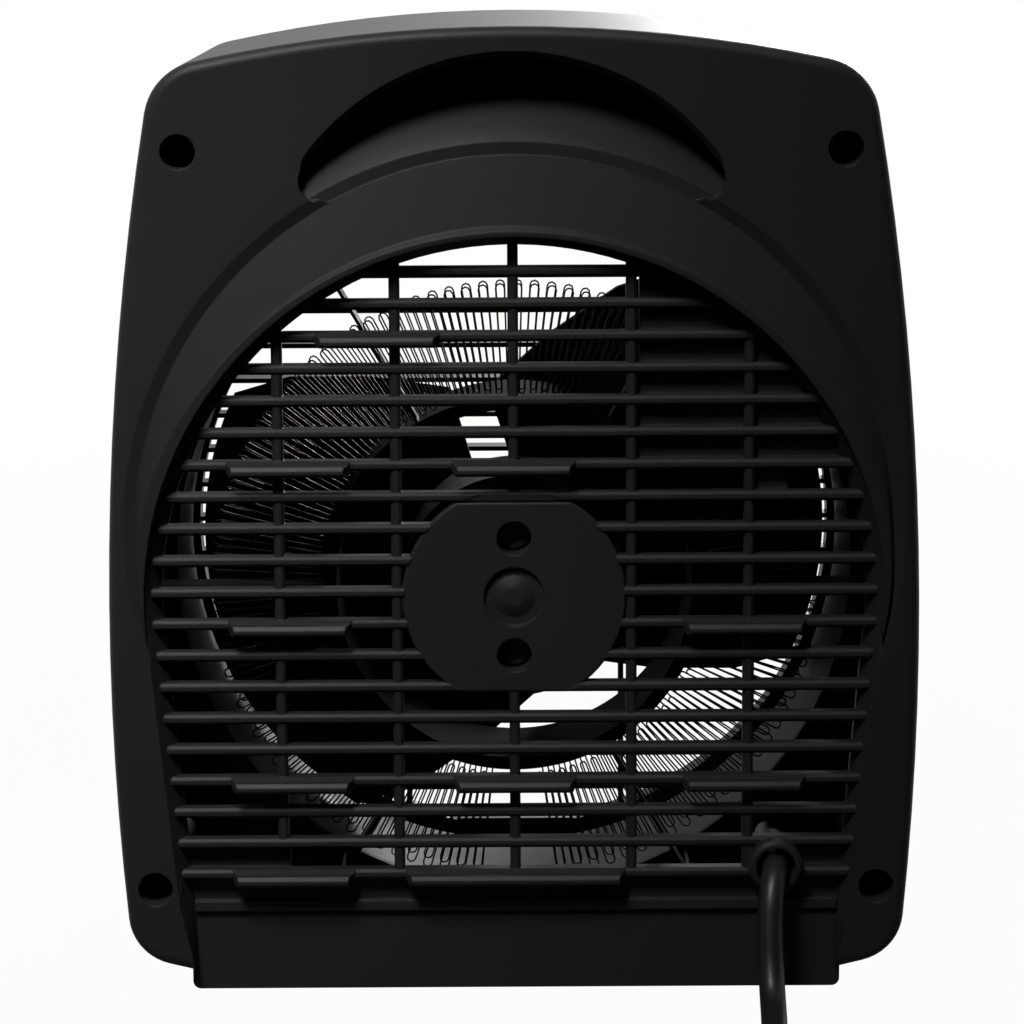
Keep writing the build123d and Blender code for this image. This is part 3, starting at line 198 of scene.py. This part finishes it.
def moulded_plastic(name, low, high, rough, grain_scale=2600.0, grain=0.10, gloss_level=0.5, edge=0.0):
    """Satin moulded plastic: fine grain, slight drifts in shade and gloss, and softened edges."""
    material, tree, shader = node_tree(name)
    shader.inputs["Specular IOR Level"].default_value = gloss_level
    add_shade(tree, shader, add_noise(tree, SHADE_SCALE, SHADE_DETAIL), low, high)
    gloss = add_range(tree, add_noise(tree, GLOSS_SCALE), *rough)
    tree.links.new(gloss, shader.inputs["Roughness"])
    bump = add_bump(tree, shader, add_noise(tree, grain_scale, rough=GRAIN_ROUGH), grain)
    if edge:
        soft = tree.nodes.new("ShaderNodeBevel")
        soft.samples = EDGE_SAMPLES
        soft.inputs["Radius"].default_value = edge
        tree.links.new(soft.outputs["Normal"], bump.inputs["Normal"])
    return material


def metal(name, low, high, rough, metallic=1.0, grain=0.06):
    """Bare metal with a faint uneven finish."""
    material, tree, shader = node_tree(name)
    shader.inputs["Metallic"].default_value = metallic
    add_shade(tree, shader, add_noise(tree, METAL_SHADE_SCALE, SHADE_DETAIL), low, high)
    gloss = add_range(tree, add_noise(tree, METAL_GLOSS_SCALE), *rough)
    tree.links.new(gloss, shader.inputs["Roughness"])
    add_bump(tree, shader, add_noise(tree, METAL_GRAIN_SCALE), grain)
    return material


def clear(name, colour, transmission, rough, wave_scale, wave):
    """A clear material with faint waves."""
    material, tree, shader = node_tree(name)
    shader.inputs["Base Color"].default_value = (*colour, 1)
    shader.inputs["Transmission Weight"].default_value = transmission
    shader.inputs["Roughness"].default_value = rough
    add_bump(tree, shader, add_noise(tree, wave_scale), wave)
    return material


def grey(value):
    """A neutral colour."""
    return (value, value, value)


SATIN = (0.47, 0.53)
CASING = moulded_plastic("casing_plastic", grey(0.0076), grey(0.0084), SATIN, gloss_level=0.1, edge=0.0007)
GRILLE = moulded_plastic("grille_plastic", grey(0.006), grey(0.007), SATIN, gloss_level=0.1)
BAFFLE = moulded_plastic("baffle_black", grey(0.003), grey(0.004), (0.55, 0.7), gloss_level=0.06)
REFLECTOR = moulded_plastic("dull_coated_steel", grey(0.040), grey(0.060), (0.5, 0.6), gloss_level=0.05)
FAN = moulded_plastic("fan_plastic", grey(0.004), grey(0.005), (0.45, 0.55), gloss_level=0.06)
SLEEVE_BLACK = moulded_plastic("black_sleeve", grey(0.0015), grey(0.0025), (0.6, 0.7), gloss_level=0.02)
SCREW_BLACK = metal("black_screw", grey(0.006), grey(0.010), (0.4, 0.55), metallic=0.3)
DARK_METAL = metal("dark_steel", grey(0.010), grey(0.018), (0.45, 0.6))
PLATED = metal("plated_steel", grey(0.012), grey(0.020), (0.4, 0.5))
GROUND = metal("ground_steel", grey(0.45), grey(0.55), (0.22, 0.3))
WIRE = metal("resistance_wire", (0.012, 0.0115, 0.011), (0.022, 0.021, 0.020), (0.35, 0.45))
MICA = moulded_plastic(
    "mica_board", (0.008, 0.0075, 0.007), (0.012, 0.0115, 0.011), (0.4, 0.6),
    grain_scale=700.0, grain=0.2, gloss_level=0.1,
)
COPPER = metal("enamelled_copper", (0.45, 0.16, 0.06), (0.60, 0.24, 0.10), (0.3, 0.4))
BRONZE = metal("sintered_bronze", (0.38, 0.25, 0.13), (0.5, 0.34, 0.18), (0.45, 0.55))
PHENOLIC = moulded_plastic("phenolic", (0.03, 0.016, 0.010), (0.045, 0.024, 0.014), (0.35, 0.5))
CREAM = moulded_plastic("terminal_plastic", (0.55, 0.53, 0.47), (0.62, 0.60, 0.54), (0.4, 0.5))
SLEEVE = moulded_plastic("silicone_sleeve", (0.16, 0.16, 0.17), (0.20, 0.20, 0.21), (0.5, 0.6))
JACKET = moulded_plastic(
    "cord_jacket", grey(0.006), grey(0.008), (0.38, 0.46),
    grain_scale=1800.0, grain=0.08, gloss_level=0.2,
)
KNOB = moulded_plastic("knob_plastic", grey(0.008), grey(0.010), (0.35, 0.42), gloss_level=0.2, edge=0.0005)
BRASS = metal("plated_brass", (0.55, 0.46, 0.28), (0.65, 0.56, 0.36), (0.25, 0.35))
RED_LENS = clear("indicator_red", (0.55, 0.03, 0.02), 0.6, 0.12, LENS_RIB_SCALE, 0.1)
LAMP_GLASS = clear("lamp_glass", (0.85, 0.8, 0.75), 0.8, 0.08, GLASS_WAVE_SCALE, 0.05)

FINISH = {
    "rear_housing": CASING,
    "front_housing": CASING,
    "front_grille": GRILLE,
    "baffle_plate": BAFFLE,
    "reflector_ring": REFLECTOR,
    "element_ring": SLEEVE_BLACK,
    "mica_spokes": MICA,
    "thermal_cutout": PHENOLIC,
    "thermal_fuse": PHENOLIC,
    "motor_can": DARK_METAL,
    "motor_end_cap": PLATED,
    "rear_bearing": BRONZE,
    "front_bearing": BRONZE,
    "stator_core": DARK_METAL,
    "stator_windings": COPPER,
    "rotor_core": DARK_METAL,
    "motor_shaft": GROUND,
    "impeller": FAN,
    "fan_clip": GROUND,
    "housing_screws": SCREW_BLACK,
    "motor_screws": SCREW_BLACK,
    "baffle_screws": SCREW_BLACK,
    "reflector_screws": SCREW_BLACK,
    "thermostat_body": PHENOLIC,
    "selector_body": PHENOLIC,
    "thermostat_shaft": GROUND,
    "selector_shaft": GROUND,
    "thermostat_knob": KNOB,
    "selector_knob": KNOB,
    "indicator_lens": RED_LENS,
    "neon_lamp": LAMP_GLASS,
    "terminal_block": CREAM,
    "cord_clamp": SLEEVE_BLACK,
    "cord_tail": JACKET,
    "inner_leads": SLEEVE,
    "plug_relief": JACKET,
    "plug_body": JACKET,
    "plug_blades": BRASS,
}


def dress(obj, material):
    """Give an object one material."""
    obj.data.materials.clear()
    obj.data.materials.append(material)


def link(name, data):
    """A new object in the scene from a mesh, curve, lamp or camera."""
    obj = bpy.data.objects.new(name, data)
    bpy.context.scene.collection.objects.link(obj)
    return obj


def round_line(name, radius, kind, points):
    """A curve with a round section and closed ends, and its one spline, through or near the points."""
    curve = bpy.data.curves.new(name, "CURVE")
    curve.dimensions = "3D"
    curve.bevel_depth = radius
    curve.use_fill_caps = True
    spline = curve.splines.new(kind)
    spline.points.add(len(points) - 1)
    for place, point in zip(points, spline.points):
        point.co = (*place, 1.0)
    return curve, spline


def zigzag_points(y):
    """Points along a wire that runs out and in round the axis, with a round bend at each end."""
    step = pi / WIRE_LOOPS
    points = []
    for n in range(int(WIRE_SPAN / step)):
        edge = WIRE_REACH[n % 2]
        way = 1 if n % 2 else -1
        bend = edge * step / 2
        middle = WIRE_START + (n + 0.5) * step
        along = Vector((cos(middle), 0, sin(middle)))
        across = Vector((-sin(middle), 0, cos(middle)))
        centre = Vector((0, y, AXIS_Z)) + along * (edge - way * bend)
        for part in range(BEND_POINTS):
            turn = pi * part / (BEND_POINTS - 1)
            points.append(centre - across * bend * cos(turn) + along * way * bend * sin(turn))
    return points


def make_wire(node, y):
    """A round heating wire bent to and fro round the axis, in place of the model's flat one."""
    curve, _ = round_line(node + "_line", WIRE_R, "POLY", zigzag_points(y))
    curve.bevel_resolution = WIRE_BEVEL
    obj = link(node + "_round", curve)
    dress(obj, WIRE)
    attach(obj, BODY_OF[node])
    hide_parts(node)


def coil_stations():
    """Where the coil crosses its own X line, half a turn apart: place and height."""
    xs = [COIL_FIRST_X - COIL_STEP * n for n in range(COIL_LOW_TURNS + 1)]
    stations = [(x if n % 2 == 0 else -x, CORD_FLOOR) for n, x in enumerate(xs)]
    inner = xs[-1] - COIL_STEP
    high = CORD_FLOOR + COIL_RISE
    stations.append((inner, high))
    outward = COIL_STEPS_OUT * COIL_STEP
    reach = inner + outward
    for n in range(COIL_HIGH_TURNS):
        side = -1 if n % 2 == 0 else 1
        stations.append((side * reach, high))
        reach += outward if n % 2 else -COIL_STEP
    return [(COIL_SIDE * x, z) for x, z in stations]


def coil_points():
    """Control points round the coil's half turns, a little outside the arcs that the cord then follows."""
    x0 = CORD_ROUTE[-1][0] - COIL_SIDE * COIL_FIRST_X
    y0 = CORD_ROUTE[-1][1]
    stations = coil_stations()
    outside = 1 / cos(pi / POINTS_PER_HALF_TURN / 2)
    points = []
    for n, ((xa, za), (xb, zb)) in enumerate(zip(stations, stations[1:])):
        middle = (xa + xb) / 2
        across = (xb - xa) / 2
        bulge = (1 if n % 2 == 0 else -1) * abs(across)
        for step in range(POINTS_PER_HALF_TURN):
            turn = pi * (step + 0.5) / POINTS_PER_HALF_TURN
            x = x0 + middle - across * cos(turn) * outside
            y = y0 + bulge * sin(turn) * outside
            z = (za + zb) / 2 - (zb - za) / 2 * cos(turn)
            points.append((x, y, z))
    last_x, last_z = stations[-1]
    points.append((x0 + last_x, y0 + COIL_TAIL, last_z))
    return points


def make_cord():
    """The whole cord as one smooth line, from the collar to the plug."""
    points = list(CORD_ROUTE) + coil_points()
    curve, spline = round_line("power_cord_line", CORD_R, "NURBS", points)
    curve.bevel_resolution = CORD_BEVEL
    curve.resolution_u = CORD_STEPS
    spline.order_u = CORD_ORDER
    spline.use_endpoint_u = True
    obj = link("mains_cord", curve)
    dress(obj, JACKET)
    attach(obj, "casing")
    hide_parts("power_cord", "cord_coil")


def make_camera():
    """The photograph's view: from behind, a little down, with the shift that its framing needs."""
    data = bpy.data.cameras.new("camera")
    data.sensor_width = SENSOR_MM
    data.lens = LENS_MM
    data.shift_y = SHIFT_Y
    data.clip_start = NEAREST_SEEN
    camera = link("camera", data)
    facing = Matrix.Rotation(pi, 4, "Z") @ Matrix.Rotation(pi / 2 - CAMERA_DOWN, 4, "X")
    roll = Matrix.Rotation(CAMERA_ROLL, 4, "Z")
    camera.matrix_world = Matrix.Translation(CAMERA_AT) @ facing @ roll
    bpy.context.scene.camera = camera


def math_node(tree, operation, first, second):
    """One sum of two node outputs."""
    node = tree.nodes.new("ShaderNodeMath")
    node.operation = operation
    tree.links.new(first, node.inputs[0])
    tree.links.new(second, node.inputs[1])
    return node.outputs[0]


def seen_white(tree, place, backdrop):
    """1 where the camera looks, and where a mirror or glass looks at the backdrop, between two Y values."""
    path = tree.nodes.new("ShaderNodeLightPath")
    parts = tree.nodes.new("ShaderNodeSeparateXYZ")
    tree.links.new(place, parts.inputs[0])
    behind = add_range(tree, parts.outputs["Y"], 0.0, 1.0, *backdrop)
    glossy = path.outputs["Is Glossy Ray"]
    through = path.outputs["Is Transmission Ray"]
    mirrored = math_node(tree, "MULTIPLY", math_node(tree, "MAXIMUM", glossy, through), behind)
    return math_node(tree, "MAXIMUM", path.outputs["Is Camera Ray"], mirrored)


def floor_material():
    """A dull pale floor that the camera sees as white, a little less so near the object."""
    material, tree, shader = node_tree("pale_floor")
    shader.inputs["Base Color"].default_value = (*grey(FLOOR_GREY), 1)
    shader.inputs["Roughness"].default_value = FLOOR_ROUGH
    shader.inputs["Specular IOR Level"].default_value = FLOOR_GLOSS
    glow = tree.nodes.new("ShaderNodeEmission")
    glow.inputs["Color"].default_value = (*grey(1.0), 1)
    mix = tree.nodes.new("ShaderNodeMixShader")
    place = tree.nodes.new("ShaderNodeTexCoord").outputs["Object"]
    away = tree.nodes.new("ShaderNodeVectorMath")
    away.operation = "LENGTH"
    tree.links.new(place, away.inputs[0])
    distance = away.outputs["Value"]
    whiter = add_range(tree, distance, FLOOR_WHITE_NEAR, 1.0, FLOOR_WHITE_NEAR_R, FLOOR_WHITE_FAR_R)
    white = seen_white(tree, place, FLOOR_BACKDROP)
    tree.links.new(math_node(tree, "MULTIPLY", white, whiter), mix.inputs["Fac"])
    tree.links.new(shader.outputs["BSDF"], mix.inputs[1])
    tree.links.new(glow.outputs["Emission"], mix.inputs[2])
    tree.links.new(mix.outputs[0], tree.nodes["Material Output"].inputs["Surface"])
    return material


def make_floor():
    """A plain floor that keeps the object's shadow."""
    mesh = bpy.data.meshes.new("floor")
    corners = [(x * FLOOR_REACH, y * FLOOR_REACH, 0) for x, y in ((-1, -1), (1, -1), (1, 1), (-1, 1))]
    mesh.from_pydata(corners, [], [(0, 1, 2, 3)])
    floor = link("floor", mesh)
    dress(floor, floor_material())


def make_world():
    """Soft even light, seen as plain white."""
    world = bpy.data.worlds.new("studio")
    bpy.context.scene.world = world
    world.use_nodes = True
    tree = world.node_tree
    background = tree.nodes["Background"]
    background.inputs["Color"].default_value = (*grey(1.0), 1)
    place = tree.nodes.new("ShaderNodeTexCoord").outputs["Generated"]
    strength = add_range(tree, seen_white(tree, place, WORLD_BACKDROP), WORLD_LIGHT, 1.0)
    tree.links.new(strength, background.inputs["Strength"])


def make_lamp(name, place, aim, size, watts, width):
    """A soft square lamp that faces a point, with a beam of so many degrees."""
    data = bpy.data.lights.new(name, "AREA")
    data.shape = "SQUARE"
    data.size = size
    data.energy = watts
    data.spread = radians(width)
    lamp = link(name, data)
    lamp.location = place
    facing = Vector(aim) - Vector(place)
    lamp.rotation_euler = facing.to_track_quat("-Z", "Y").to_euler()


def make_lights():
    """The key's beams, which fall off to the picture's lower right, and a lamp for the hidden front."""
    out = Vector((sin(KEY_SIDE) * cos(KEY_UP), cos(KEY_SIDE) * cos(KEY_UP), sin(KEY_UP)))
    for name, (distance, size, aim, watts, width) in KEY_BEAMS.items():
        make_lamp(name, KEY_CENTRE + out * distance, aim, size, watts, width)
    make_lamp(
        "outlet_lamp", OUTLET_LAMP_AT, OUTLET_LAMP_AIM, OUTLET_LAMP_SIZE,
        OUTLET_LAMP_WATTS, OUTLET_LAMP_WIDTH,
    )


def dress_nodes():
    """Materials for every node of the model that stays."""
    for name, material in FINISH.items():
        dress(NODES[name], material)


def main():
    """Build the whole picture."""
    scene = bpy.context.scene
    scene.view_settings.view_transform = "Standard"
    make_camera()
    make_floor()
    make_world()
    make_lights()
    dress_nodes()
    for node, y in WIRE_LEVELS.items():
        make_wire(node, y)
    make_cord()


main()
